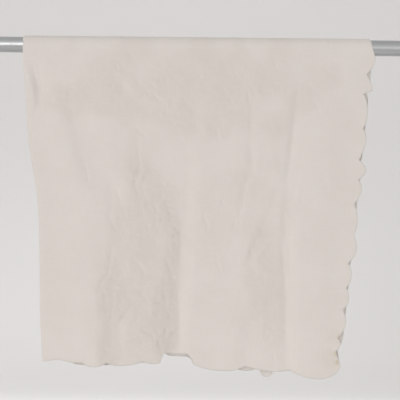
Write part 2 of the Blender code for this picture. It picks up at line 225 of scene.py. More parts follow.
FRONT_FOLDS = (
    # The trough left of the middle: broad descent, deep part, step at its left, ridge at its right
    Fold(0.24, 0.86, 0.470, 0.464, 0.450, 0.190, 0.050, 0.0045),
    Fold(0.34, 0.86, 0.469, 0.464, 0.452, 0.070, 0.034, 0.006),
    Fold(0.30, 0.86, 0.238, 0.252, 0.236, 0.032, 0.064, 0.0032),
    Fold(0.40, 0.86, 0.490, 0.483, 0.475, 0.020, 0.070, -0.0008),
    # The valley right of the middle, and its wide lower part
    Fold(0.09, 0.86, 0.806, 0.797, 0.834, 0.022, 0.036, 0.0026),
    Fold(0.42, 0.86, 0.792, 0.806, 0.832, 0.100, 0.042, 0.005),
    Fold(0.30, 0.62, 0.798, 0.730, 0.655, 0.018, 0.022, 0.0022, False),
    Fold(0.06, 0.52, 0.664, 0.679, 0.625, 0.018, 0.020, 0.0016, False),
    Fold(0.66, 0.86, 0.700, 0.700, 0.700, 0.036, 0.044, 0.0025),
    # The left side: the deep fold by the folded edge, and the soft slanting valley
    Fold(0.03, 0.20, 0.024, 0.037, 0.041, 0.016, 0.050, 0.011, False),
    Fold(0.10, 0.40, 0.114, 0.157, 0.186, 0.040, 0.070, 0.0045, False),
    Fold(0.20, 0.86, 0.140, 0.150, 0.150, 0.090, 0.070, -0.004),
    Fold(0.10, 0.86, 0.900, 0.900, 0.910, 0.110, 0.070, -0.003),
    Fold(0.10, 0.40, 0.300, 0.300, 0.300, 0.050, 0.050, 0.002, False),
)
BACK_FOLDS = (
    Fold(0.12, 0.82, 0.200, 0.210, 0.220, 0.110, 0.090, 0.007),
    Fold(0.20, 0.82, 0.400, 0.390, 0.400, 0.080, 0.090, -0.008),
    Fold(0.10, 0.82, 0.600, 0.590, 0.580, 0.090, 0.070, 0.008),
    Fold(0.25, 0.82, 0.800, 0.810, 0.800, 0.080, 0.090, -0.007),
)

CREASES = in_metres(Crease, (
    # Below the deep fold beside the folded edge
    (1630, 1680, 1580, 2020, 42, 12), (1530, 2210, 1660, 2130, 42, 10), (1560, 2340, 1510, 2660, 48, 12),
    (1700, 590, 1760, 1170, 42, 8),
    # Under the rail
    (3720, 500, 3810, 710, 42, 9), (3540, 1010, 3690, 1080, 42, 8), (3810, 1020, 4120, 1380, 127, 14),
    (4600, 580, 4900, 670, 42, 8), (4700, 1010, 4730, 1160, 42, 10), (4720, 1250, 4880, 1460, 42, 11),
    (5250, 1430, 5340, 1850, 64, 8), (5450, 690, 5700, 780, 42, 11), (5550, 1510, 5740, 1610, 53, 11),
    (6370, 1080, 6550, 1100, 42, 8), (6620, 1110, 6830, 1590, 53, 8), (6980, 970, 7160, 960, 38, 11),
    (7220, 1220, 7290, 1560, 64, 15), (7950, 420, 8040, 700, 42, 7), (8250, 480, 8270, 640, 42, 7),
    (9320, 590, 9410, 780, 42, 8), (8930, 1450, 9120, 1630, 85, 9), (8540, 1370, 8420, 2620, 95, 17),
    (8420, 2620, 8230, 3900, 90, 13),
    # The upper middle
    (4310, 2230, 4560, 2440, 42, 11), (5350, 2220, 5630, 2760, 85, 11), (7170, 2010, 7200, 2200, 42, 7),
    (7240, 2440, 7430, 3230, 85, 12), (7430, 3230, 7220, 3660, 64, 14), (7220, 3660, 7070, 4450, 64, 10),
    (4350, 2650, 4390, 3260, 64, 18), (4390, 3260, 4270, 3690, 64, 30), (4270, 3690, 4520, 4660, 64, 12),
    (2950, 3220, 3050, 3640, 53, 10), (9290, 3460, 9380, 3820, 85, 9), (8620, 3700, 8590, 4070, 53, -12),
    # The crumpled trough left of the middle
    (3810, 3880, 3880, 4240, 53, 16), (3880, 4240, 4000, 4480, 42, 12), (3580, 4490, 3730, 4850, 64, 16),
    (4760, 4110, 4890, 4470, 42, 14), (4520, 4660, 4580, 5170, 53, -8), (4940, 3790, 4990, 4030, 42, 9),
    (3680, 5460, 3590, 6070, 53, 12), (3590, 6070, 3380, 6380, 53, 15), (3380, 6380, 3510, 6740, 64, 15),
    (3980, 5760, 4110, 5940, 42, 12), (4290, 5700, 4540, 6000, 53, 14), (5110, 5630, 5210, 5930, 53, 18),
    (4850, 6790, 5150, 6900, 42, 11), (5090, 6540, 5120, 6900, 53, 13), (3880, 7400, 4120, 7100, 53, 13),
    (4490, 7520, 4800, 7700, 42, 15), (5100, 7420, 5130, 7760, 53, 18), (4930, 7820, 5010, 8140, 53, 18),
    # Right of the middle
    (6100, 4460, 6230, 4830, 53, 12), (6580, 4090, 6650, 4210, 64, 13), (6420, 5430, 6570, 6040, 42, 8),
    (6740, 7220, 6830, 7400, 42, 8), (6930, 4640, 6900, 4880, 42, 10), (7350, 4630, 7410, 4870, 42, 9),
    (7340, 5410, 7440, 5600, 42, 10), (7810, 5050, 7330, 5670, 85, 16), (7330, 5670, 7520, 6030, 85, 15),
    (8200, 4380, 8270, 4800, 53, 12), (8180, 5290, 8250, 6140, 64, 16), (7770, 6700, 7860, 6880, 42, 10),
    (8010, 6820, 8080, 7000, 42, 10), (7600, 7730, 7630, 7910, 42, 10), (7970, 8090, 8030, 8340, 42, 12),
))  # fmt: skip
# Crumpled places of the front; the cloth's material also paints shade by their strength.
CRUMPLED_PATCHES = (
    CrumpledPatch(0.438, 0.390, 0.060, 0.200, 1.00),
    CrumpledPatch(0.452, 0.650, 0.124, 0.290, 1.02, 0.547),
    CrumpledPatch(0.388, 0.485, 0.046, 0.110, 0.90),
    CrumpledPatch(0.522, 0.690, 0.054, 0.250, 1.60, 0.547),
    CrumpledPatch(0.370, 0.730, 0.046, 0.180, 1.20),
    CrumpledPatch(0.560, 0.105, 0.400, 0.140, 0.82),
    CrumpledPatch(0.680, 0.450, 0.130, 0.150, 0.45),
    CrumpledPatch(0.784, 0.620, 0.076, 0.300, 0.80, 0.829),
)
CREST_WRINKLES = in_metres(CrestWrinkle, (
    (3860, 40, 8), (4700, 60, 4), (6110, 40, 9), (6880, 70, 7), (8120, 60, 8), (8900, 40, 7), (9080, 40, 6),
))  # fmt: skip


def smooth_step(low: float, high: float, value: np.ndarray) -> np.ndarray:
    """A soft change from 0 to 1.

    Args:
        low: where the change starts.
        high: where it ends.
        value: the places.

    Returns:
        The share of the change at each place.
    """
    share = np.clip((value - low) / (high - low), 0.0, 1.0)
    return share * share * (3.0 - 2.0 * share)


def unit(vectors: np.ndarray) -> np.ndarray:
    """Vectors with their length made 1."""
    return vectors / np.linalg.norm(vectors, axis=1, keepdims=True)


def smooth_line(knots: tuple[EdgePoint, ...], drop: np.ndarray) -> np.ndarray:
    """A smooth curve through the points of an edge.

    Args:
        knots: the edge's points, from the rail down.
        drop: the drops to read.

    Returns:
        The x at each drop.
    """
    at = np.array([knot.drop for knot in knots])
    x = np.array([knot.x for knot in knots])
    slope = np.gradient(x, at)
    place = np.clip(drop, at[0], at[-1])
    index = np.clip(np.searchsorted(at, place, side="right") - 1, 0, len(at) - 2)
    length = at[index + 1] - at[index]
    t = (place - at[index]) / length
    start = (1 + 2 * t) * (1 - t) ** 2 * x[index] + t * (1 - t) ** 2 * length * slope[index]
    end = t * t * (3 - 2 * t) * x[index + 1] + t * t * (t - 1) * length * slope[index + 1]
    return start + end


class SoftNoise:
    """Smooth noise between -1 and 1, with a fixed seed."""

    SIZE = 64

    def __init__(self, seed: int) -> None:
        """Draws the noise's grid of values.

        Args:
            seed: the seed of the draw.
        """
        self.values = np.random.default_rng(seed).uniform(-1.0, 1.0, (self.SIZE, self.SIZE))

    def at(self, u: np.ndarray, v: np.ndarray) -> np.ndarray:
        """The noise at places given in cells of its grid.

        Args:
            u: places along the first axis.
            v: places along the second axis.

        Returns:
            The values.
        """
        column, row = np.floor(u).astype(int), np.floor(v).astype(int)
        s, t = u - column, v - row
        s, t = s * s * (3 - 2 * s), t * t * (3 - 2 * t)
        grid, size = self.values, self.SIZE
        low = grid[row % size, column % size] * (1 - s) + grid[row % size, (column + 1) % size] * s
        high = grid[(row + 1) % size, column % size] * (1 - s) + grid[(row + 1) % size, (column + 1) % size] * s
        return low * (1 - t) + high * t


@dataclass(frozen=True)
class Drape:
    """How the doubled cloth lies over the rail. Places on it are (across from the fold, run from the crest)."""

    rail_radius: float = RAIL_RADIUS
    clearance: float = 0.0006
    layer_half_step: float = 0.001
    hanging_half_step: float = 0.0017
    edge_half_step: float = 0.0018
    inner_ease: float = 0.0012
    cad_thickness: float = 0.001
    opening_width: float = 0.12
    nose_opening_width: float = 0.02
    last_row: float = 0.79
    fold_fade: float = 0.10
    wrap_side_x: float = 1.0505
    wrap_side_bulge: float = -0.0045
    slope_step: float = 0.0005
    crumple_depth: float = 0.0013
    crumple_octaves: tuple[tuple[float, float, bool], ...] = (
        (0.040, 1.20, False), (0.022, 0.90, False), (0.014, 0.65, True), (0.009, 0.42, False),
    )  # fmt: skip
    crumple_stretch: float = 1.15
    crumple_lean: float = 0.18
    crumple_least: float = 0.10
    patch_reach: float = 1.25
    patch_fade: float = 0.9
    ragged_share: float = 0.7
    ragged_cell: tuple[float, float] = (0.050, 0.075)
    patchy_cell: tuple[float, float] = (0.047, 0.055)
    ridge_fade: float = 0.006
    crease_fade: tuple[float, float] = (-0.35, 0.3)
    lip_share: float = 0.45
    lip_place: float = 1.5
    crest_reach: float = 0.02
    crest_fade: float = 0.03
    relief_fade: float = 0.05
    nose_fade: float = 0.02

    @property
    def wrap_radius(self) -> float:
        """The radius of the surface halfway between the layers, on the rail."""
        return self.rail_radius + self.clearance + self.cad_thickness / 2 + self.layer_half_step

    @property
    def quarter_wrap(self) -> float:
        """The run from the crest to where the cloth leaves the rail."""
        return self.wrap_radius * math.pi / 2

    @property
    def nose_quarter(self) -> float:
        """The distance across from the fold's nose to where each layer starts."""
        return self.layer_half_step * math.pi / 2

    def drop(self, run: np.ndarray) -> np.ndarray:
        """How far below the rail's axis each run has come."""
        return np.maximum(np.abs(run) - self.quarter_wrap, 0.0)

    def fold_edge(self, run: np.ndarray) -> np.ndarray:
        """The x of the folded edge at each run."""
        drop = self.drop(run)
        return np.where(run < 0, smooth_line(FRONT_FOLD_EDGE, drop), smooth_line(BACK_FOLD_EDGE, drop))

    def side_mean(self, run: np.ndarray) -> np.ndarray:
        """The mean x of the open side edge at each run."""
        drop = self.drop(run)
        front, back = [
            line.top_x + (line.bottom_x - line.top_x) * drop / line.last_notch
            for line in (INNER_FRONT_SIDE, OUTER_BACK_SIDE)
        ]
        return np.where(run < 0, front, back)

    def fold_relief(self, fold: Fold, x: np.ndarray, drop: np.ndarray, run: np.ndarray) -> np.ndarray:
        """How far one fold moves the cloth, towards the rail.

        Args:
            fold: the fold.
            x: places along the rail.
            drop: drops of the places.
            run: runs of the places.

        Returns:
            The move at each place.
        """
        left = self.fold_edge(run)
        share = np.minimum((drop - fold.start) / (fold.end - fold.start), 1.0)
        middle = np.interp(share, [0.0, 0.5, 1.0], [fold.at_start, fold.at_middle, fold.at_end])
        across = x - left - middle * (self.side_mean(run) - left)
        across = across / np.where(across < 0, fold.left_width, fold.right_width)
        profile = 0.5 * (1.0 + np.cos(math.pi * np.clip(across, -1.0, 1.0)))
        fade = smooth_step(0.0, self.fold_fade, drop - fold.start)
        if not fold.reaches_hem:
            fade = fade * smooth_step(0.0, self.fold_fade, fold.end - drop)
        return fold.depth * fade * profile

    def middle(self, x: np.ndarray, run: np.ndarray) -> np.ndarray:
        """Points of the surface halfway between the layers, with its long folds.

        Args:
            x: places along the rail.
            run: runs of the places.

        Returns:
            An array of points.
        """
        angle = np.clip(run / self.wrap_radius, -math.pi / 2, math.pi / 2)
        drop = self.drop(run)
        front = sum(self.fold_relief(fold, x, drop, run) for fold in FRONT_FOLDS)
        back = sum(self.fold_relief(fold, x, drop, run) for fold in BACK_FOLDS)
        y = self.wrap_radius * np.sin(angle) + np.where(run < 0, front, -back)
        return np.stack([x, y, self.wrap_radius * np.cos(angle) - drop], axis=1)

    def outward(self, x: np.ndarray, run: np.ndarray) -> np.ndarray:
        """Directions square to the cloth, away from the rail."""
        h = self.slope_step
        across = self.middle(x + h, run) - self.middle(x - h, run)
        upward = self.middle(x, run + h) - self.middle(x, run - h)
        return unit(np.cross(across, upward))

    def half_step(self, x: np.ndarray, run: np.ndarray) -> np.ndarray:
        """Half the distance between the layers at each place."""
        side = self.side_mean(run)
        near_side = smooth_step(0.0, 1.0, (x - side) / self.opening_width + 1.0)
        near_hem = smooth_step(self.last_row - self.opening_width, self.last_row, self.drop(run))
        free = self.hanging_half_step
        free = free + (self.edge_half_step - free) * np.maximum(near_side, near_hem)
        away_from_rail = smooth_step(0.0, self.opening_width, self.drop(run))
        away_from_fold = smooth_step(0.0, self.nose_opening_width, x - self.fold_edge(run))
        return self.layer_half_step + (free - self.layer_half_step) * away_from_rail * away_from_fold

    def crumple(self, x: np.ndarray, drop: np.ndarray) -> np.ndarray:
        """How finely crumpled the front is at each place, from about 0 to a little over 1. The cloth's material
        also paints shade by this amount.
        """
        amount = np.full_like(x, self.crumple_least)
        cell_x, cell_drop = self.ragged_cell
        ragged = self.ragged_share * SoftNoise(RAGGED_SEED).at(x / cell_x, drop / cell_drop)
        for patch in CRUMPLED_PATCHES:
            reach = ((x - patch.x) / patch.half_width) ** 2 + ((drop - patch.drop) / patch.half_height) ** 2
            strength = patch.strength * smooth_step(-self.ridge_fade, self.ridge_fade, patch.ridge_x - x)
            inside = smooth_step(0.0, self.patch_fade, self.patch_reach - reach - ragged)
            amount = np.maximum(amount, strength * inside)
        return amount

    def crease_relief(self, x: np.ndarray, drop: np.ndarray) -> np.ndarray:
        """How far the short creases and the fine crumple move the front's outer layer, towards the rail."""
        total = np.zeros_like(x)
        for crease in CREASES:
            along, side, _ = crease.local(x, drop)
            side = side / crease.width
            ends = smooth_step(*self.crease_fade, along) * smooth_step(*self.crease_fade, 1.0 - along)
            lip = self.lip_share * np.exp(-((side - self.lip_place) ** 2))
            total += crease.depth * ends * (np.exp(-(side**2)) - lip)
        amount = self.crumple(x, drop)
        cell_x, cell_drop = self.patchy_cell
        for octave, (cell, share, ridged) in enumerate(self.crumple_octaves):
            lean = (x + self.crumple_lean * drop * (-1) ** octave) / cell
            field = SoftNoise(octave + CRUMPLE_SEED).at(lean, drop / (cell * self.crumple_stretch))
            field = np.where(ridged, 0.45 - 1.3 * np.abs(field), field)
            patchy = SoftNoise(octave + PATCHY_SEED).at(x / cell_x, drop / cell_drop)
            patchy = 0.35 + 0.9 * smooth_step(-0.25, 0.45, patchy)
            total += self.crumple_depth * share * amount * patchy * field
        return total

    def crest_relief(self, x: np.ndarray, run: np.ndarray) -> np.ndarray:
        """How far the small wrinkles over the rail lift the outer layer."""
        near_crest = smooth_step(0.0, self.crest_fade, self.quarter_wrap + self.crest_reach - np.abs(run))
        lift = sum(w.height * np.exp(-(((x - w.x) / w.width) ** 2)) for w in CREST_WRINKLES)
        return lift * near_crest

    def place(self, across: np.ndarray, run: np.ndarray) -> tuple[np.ndarray, np.ndarray]:
        """Where places of the flat cloth lie once it hangs.

        Args:
            across: distances from the fold, below 0 on the outer layer.
            run: distances from the crest, below 0 in front of the rail.

        Returns:
            The points, and the directions square to the cloth there.
        """
        left = self.fold_edge(run)
        angle = np.clip(across / self.layer_half_step, -math.pi / 2, math.pi / 2)
        on_nose = np.abs(across) < self.nose_quarter
        beyond = np.maximum(np.abs(across) - self.nose_quarter, 0.0)
        x = left + self.layer_half_step * np.where(on_nose, 1.0 - np.cos(angle), 1.0) + beyond
        outward = self.outward(x, run)
        half = self.half_step(x, run)
        fade = self.relief_fade
        interior = smooth_step(0.0, fade, beyond) * smooth_step(0.0, fade, self.side_mean(run) - x)
        drop = self.drop(run)
        half = half + np.where(across > 0, self.inner_ease * interior * (drop > 0), 0.0)
        offset = np.where(on_nose, -self.layer_half_step * np.sin(angle), -np.sign(across) * half)
        outer = np.clip(beyond / self.nose_fade, 0.0, 1.0) * (across < 0)
        below_rail = smooth_step(0.0, fade, drop) * (run < 0)
        offset = offset - outer * below_rail * self.crease_relief(x, drop)
        offset = offset + outer * self.crest_relief(x, run)
        return self.middle(x, run) + outward * offset[:, None], outward

    def across_of(self, x: float, run: float) -> float:
        """The distance across from the fold to an x, at one run."""
        return x - float(self.fold_edge(np.array([run]))[0]) - self.layer_half_step + self.nose_quarter


@dataclass(frozen=True)
class FlatCloth:
    """The bedspread laid flat, as places (across, run): its scalloped outline and the mesh's points."""

    drape: Drape
    pitch: float = 0.068
    points_per_scallop: int = 14
    wrap_steps: int = 16
    fine_step: float = 0.0039
    front_step: float = 0.0068
    wrap_step: float = 0.0048
    back_step: float = 0.012
    hidden_step: float = 0.024
    nose_step: float = 0.010
    row_height: float = 0.866
    half_width: float = 0.95
    front_end: float = 0.90
    back_end: float = 0.84
    back_gap: float = 0.006
    wrap_gap: float = 0.003
    fine_from: float = 0.52
    crease_ends: float = 0.3
    crease_reach: float = 2.6
    most_reach: float = 0.014

    def scalloped(self, notches: list[tuple[float, float, Notch]]) -> Path2D:
        """Points along an open edge, with a scallop after each notch.

        Args:
            notches: (along, out, notch) of each notch.

        Returns:
            (along, out) of each point.
        """
        points = []
        for (start, out, notch), (end, next_out, _) in zip(notches, notches[1:]):
            for index in range(self.points_per_scallop):
                share = index / self.points_per_scallop
                from_peak = (share - notch.peak) / (notch.peak if share < notch.peak else 1.0 - notch.peak)
                rise = notch.bulge * (1.0 - abs(from_peak) ** notch.roundness)
                points.append((start + (end - start) * share, out + (next_out - out) * share + rise))
        points.append(notches[-1][:2])
        return points

    def even_notches(self, line: SideLine, side: Side) -> list[tuple[float, float, Notch]]:
        """The notches of a straight side edge, from the rail down."""
        count = round((line.last_notch - line.first_notch) / self.pitch)
        notches = []
        for index in range(count + 1):
            drop = line.first_notch + (line.last_notch - line.first_notch) * index / count
            x = line.top_x + (line.bottom_x - line.top_x) * drop / line.last_notch
            run = side.value * (drop + self.drape.quarter_wrap)
            notches.append((run, x, Notch(drop, x, line.bulge)))
        return notches

    def wrap_runs(self) -> list[float]:
        """The runs of the rows that go round the top of the rail."""
        shares = [2.0 * step / self.wrap_steps - 1.0 for step in range(self.wrap_steps + 1)]
        return [self.drape.quarter_wrap * share for share in shares]

    def side_edge(self, layer: Layer) -> Path2D:
        """One layer's open side edge, from the front hem to the back one, as places of the flat cloth."""
        if layer is Layer.OUTER:
            front = [(-(notch.drop + self.drape.quarter_wrap), notch.x, notch) for notch in FRONT_SIDE]
            back = self.even_notches(OUTER_BACK_SIDE, Side.BACK)
        else:
            front = self.even_notches(INNER_FRONT_SIDE, Side.FRONT)
            back = self.even_notches(INNER_BACK_SIDE, Side.BACK)
        bulge, radius = self.drape.wrap_side_bulge, self.drape.wrap_radius
        wrap = [(run, self.drape.wrap_side_x + bulge * math.cos(run / radius)) for run in self.wrap_runs()]
        edge = self.scalloped(front)[::-1] + wrap + self.scalloped(back)
        return [(layer.value * self.drape.across_of(x, run), run) for run, x in edge]

    def front_hem(self, layer: Layer) -> Path2D:
        """One layer's hem in front, from the fold to the side edge, as places of the flat cloth."""
        table = FRONT_HEM if layer is Layer.OUTER else INNER_FRONT_HEM
        hem = self.scalloped([(notch.x, notch.drop, notch) for notch in table])
        runs = [(x, -(drop + self.drape.quarter_wrap)) for x, drop in hem]
        return [(layer.value * self.drape.across_of(x, run), run) for x, run in runs]

    def back_hem(self, layer: Layer) -> Path2D:
        """One layer's hem behind the rail, from the fold to the side edge, as places of the flat cloth."""
        hem = OUTER_BACK_HEM if layer is Layer.OUTER else INNER_BACK_HEM
        side_x = (OUTER_BACK_SIDE if layer is Layer.OUTER else INNER_BACK_SIDE).bottom_x
        run = self.drape.quarter_wrap + hem.left_drop
        left = float(self.drape.fold_edge(np.array([run]))[0]) + self.drape.layer_half_step
        notches = []
        for index in range(hem.count + 1):
            share = index / hem.count
            drop = hem.left_drop + (hem.right_drop - hem.left_drop) * share
            x = left + (side_x - left) * share
            notches.append((x, drop, Notch(drop, x, hem.bulge)))
        runs = [(x, drop + self.drape.quarter_wrap) for x, drop in self.scalloped(notches)]
        return [(layer.value * self.drape.across_of(x, run), run) for x, run in runs]

    def nose(self, run: float) -> Path2D:
        """The places of one run where the cloth turns round its fold."""
        return [(self.drape.nose_quarter * share, run) for share in (-1.0, -0.5, 0.0, 0.5, 1.0)]

    def outline(self) -> Path2D:
        """The whole outline, in order round the flat cloth."""
        front_nose = self.nose(-(self.drape.quarter_wrap + FRONT_HEM[0].drop))
        back_nose = self.nose(self.drape.quarter_wrap + OUTER_BACK_HEM.left_drop)
        outline = self.side_edge(Layer.OUTER) + self.back_hem(Layer.OUTER)[::-1][:-1] + back_nose
        outline += self.back_hem(Layer.INNER)[1:] + self.side_edge(Layer.INNER)[::-1]
        outline += self.front_hem(Layer.INNER)[::-1][:-1] + front_nose[::-1] + self.front_hem(Layer.OUTER)[1:]
        return outline

    def grid(self, layer: Layer, step: float, runs: tuple[float, float]) -> np.ndarray:
        """Staggered rows of places on one layer.

        Args:
            layer: the layer.
            step: the distance between places in a row.
            runs: the first row's run and the last row's.

        Returns:
            An array of places.
        """
        count = max(2, round((runs[1] - runs[0]) / (step * self.row_height)))
        places = []
        for index, run in enumerate(np.linspace(*runs, count + 1)):
            first = step * (0.75 if index % 2 else 0.25) + self.nose_step * 0.3
            places += [(layer.value * across, run) for across in np.arange(first, self.half_width, step)]
        return np.array(places)

    def inside(self, places: np.ndarray, outline: Path2D, margin: float) -> np.ndarray:
        """Keeps the places that lie inside the outline, at least a margin from it."""
        edge = np.array(outline)
        following = np.roll(edge, -1, axis=0)
        kept = []
        for run in np.unique(places[:, 1]):
            row = places[places[:, 1] == run]
            crossing = (edge[:, 1] > run) != (following[:, 1] > run)
            a, b = edge[crossing], following[crossing]
            cuts = np.sort(a[:, 0] + (b[:, 0] - a[:, 0]) * (run - a[:, 1]) / (b[:, 1] - a[:, 1]))
            kept.append(row[np.searchsorted(cuts, row[:, 0]) % 2 == 1])
        kept = np.concatenate(kept)
        tree = kdtree.KDTree(len(edge))
        for index, place in enumerate(edge):
            tree.insert((place[0], place[1], 0.0), index)
        tree.balance()
        far = [tree.find((place[0], place[1], 0.0))[2] > margin for place in kept]
        return kept[np.array(far)]

    def triangles(self) -> tuple[np.ndarray, list[list[int]]]:
        """The flat cloth as a mesh.

        Returns:
            Its places, and its triangles.
        """
        quarter, outline = self.drape.quarter_wrap, self.outline()
        outer, inner = Layer.OUTER, Layer.INNER
        front = (-(quarter + self.front_end), -quarter)
        wrap = (-quarter + self.wrap_gap, quarter)
        back = (quarter + self.back_gap, quarter + self.back_end)
        fine, coarse, *others = (
            self.inside(self.grid(layer, step, runs), outline, margin)
            for layer, step, runs, margin in (
                (outer, self.fine_step, front, 0.0022),
                (outer, self.front_step, front, 0.0035),
                (outer, self.wrap_step, wrap, 0.003),
                (outer, self.back_step, back, 0.005),
                (inner, self.hidden_step, front, 0.008),
                (inner, self.wrap_step * 1.5, wrap, 0.004),
                (inner, self.hidden_step, back, 0.008),
            )
        )
        parts = [fine[self.detailed(fine)], coarse[~self.detailed(coarse)], *others]
        low, high = -(quarter + FRONT_HEM[0].drop), quarter + OUTER_BACK_HEM.left_drop
        nose_runs = np.linspace(low, high, round((high - low) / self.nose_step) + 1)[1:-1]
        parts.append(np.array([place for run in nose_runs for place in self.nose(run)]))
        places = np.concatenate([np.array(outline)] + parts)
        edges = [(index, (index + 1) % len(outline)) for index in range(len(outline))]
        flat, _, faces, *_ = delaunay_2d_cdt([Vector(place) for place in places], edges, [], 1, 1e-7)
        flat = np.array([(place[0], place[1]) for place in flat])
        middles = flat[np.array(faces)].mean(axis=1)
        log.info("flat cloth: %d places, of which %d fine ones", len(flat), len(parts[0]))
        return flat, self.faces_inside(faces, middles, outline)

    def detailed(self, places: np.ndarray) -> np.ndarray:
        """Whether each place of the front lies where the cloth is creased or crumpled."""
        x = self.drape.fold_edge(places[:, 1]) + np.abs(places[:, 0])
        drop = self.drape.drop(places[:, 1])
        near = self.drape.crumple(x, drop) > self.fine_from
        for crease in CREASES:
            along, side, length = crease.local(x, drop)
            beyond = (along - np.clip(along, -self.crease_ends, 1.0 + self.crease_ends)) * length
            near |= np.hypot(side, beyond) < min(crease.width * self.crease_reach, self.most_reach)
        return near

    def faces_inside(self, faces: list, middles: np.ndarray, outline: Path2D) -> list[list[int]]:
        """Keeps the faces whose middle lies inside the outline."""
        edge = np.array(outline)
        following = np.roll(edge, -1, axis=0)
        inside = np.zeros(len(middles), dtype=bool)
        for (x1, y1), (x2, y2) in zip(edge, following):
            if y1 == y2:
                continue
            band = (y1 > middles[:, 1]) != (y2 > middles[:, 1])
            cut = x1 + (x2 - x1) * (middles[band, 1] - y1) / (y2 - y1)
            inside[band] ^= middles[band, 0] < cut
        return [face for face, keep in zip(faces, inside) if keep]


class NodeBench:
    """A short way to lay out a material's nodes."""

    def __init__(self, name: str) -> None:
        """Starts a material.

        Args:
            name: the material's name.
        """
        self.material = bpy.data.materials.new(name)
        self.material.use_nodes = True
        self.nodes = self.material.node_tree.nodes
        self.links = self.material.node_tree.links
        self.shader = self.nodes["Principled BSDF"]

    def join(self, value: object, socket: Socket) -> None:
        """Links an output to a socket, or sets the socket's value."""
        if isinstance(value, Socket):
            self.links.new(value, socket)
        else:
            socket.default_value = value

    def add(self, kind: str, sockets: dict | None = None, **settings: object) -> bpy.types.Node:
        """Adds a node.

        Args:
            kind: the node's type, without its usual beginning.
            sockets: what goes into its inputs, as a value or another node's output.
            settings: its properties.

        Returns:
            The node.
        """
        node = self.nodes.new("ShaderNode" + kind)
        for name, value in settings.items():
            setattr(node, name, value)
        for name, value in (sockets or {}).items():
            self.join(value, node.inputs[name])
        return node

    def math(self, operation: str, first: object, second: object = 0.0, third: object = 0.0) -> Socket:
        """A sum, product or the like of up to three values."""
        return self.add("Math", {0: first, 1: second, 2: third}, operation=operation).outputs[0]

    def mix(self, factor: object, first: object, second: object) -> Socket:
        """A blend of two colours."""
        node = self.add("Mix", data_type="RGBA")
        for value, index in ((factor, 0), (first, 6), (second, 7)):
            self.join(value, node.inputs[index])
        return node.outputs[2]

    def noise(self, place: object, scale: float, detail: float = 2.0, **sockets: float) -> Socket:
        """Fine noise, about 0.5.

        Args:
            place: the coordinates.
            scale: how many cells a unit holds.
            detail: how many finer octaves are added.
            sockets: the node's other inputs.

        Returns:
            The noise.
        """
        values = {"Vector": place, "Scale": scale, "Detail": detail}
        values.update({name.title(): value for name, value in sockets.items()})
        return self.add("TexNoise", values).outputs[0]

    def stretched(self, place: object, scale: Triple) -> Socket:
        """Coordinates scaled apart along their axes."""
        return self.add("Mapping", {"Vector": place, "Scale": scale}).outputs[0]

    def bump(self, height: Socket) -> Socket:
        """The normals of a relief whose height is in metres."""
        return self.add("Bump", {"Height": height, "Distance": 1.0, "Strength": 1.0}).outputs[0]

    def finish(self, sockets: dict) -> bpy.types.Material:
        """Fills the shader's inputs and returns the material."""
        for name, value in sockets.items():
            self.join(value, self.shader.inputs[name])
        return self.material


@dataclass(frozen=True)
class StainAndShadeSpot:
    """A spot that tints the cloth towards the stain colour, for faint stains and for painted shade: its middle, how
    far it reaches and how strong it is.
    """

    x: float
    z: float
    reach: float
    strength: float


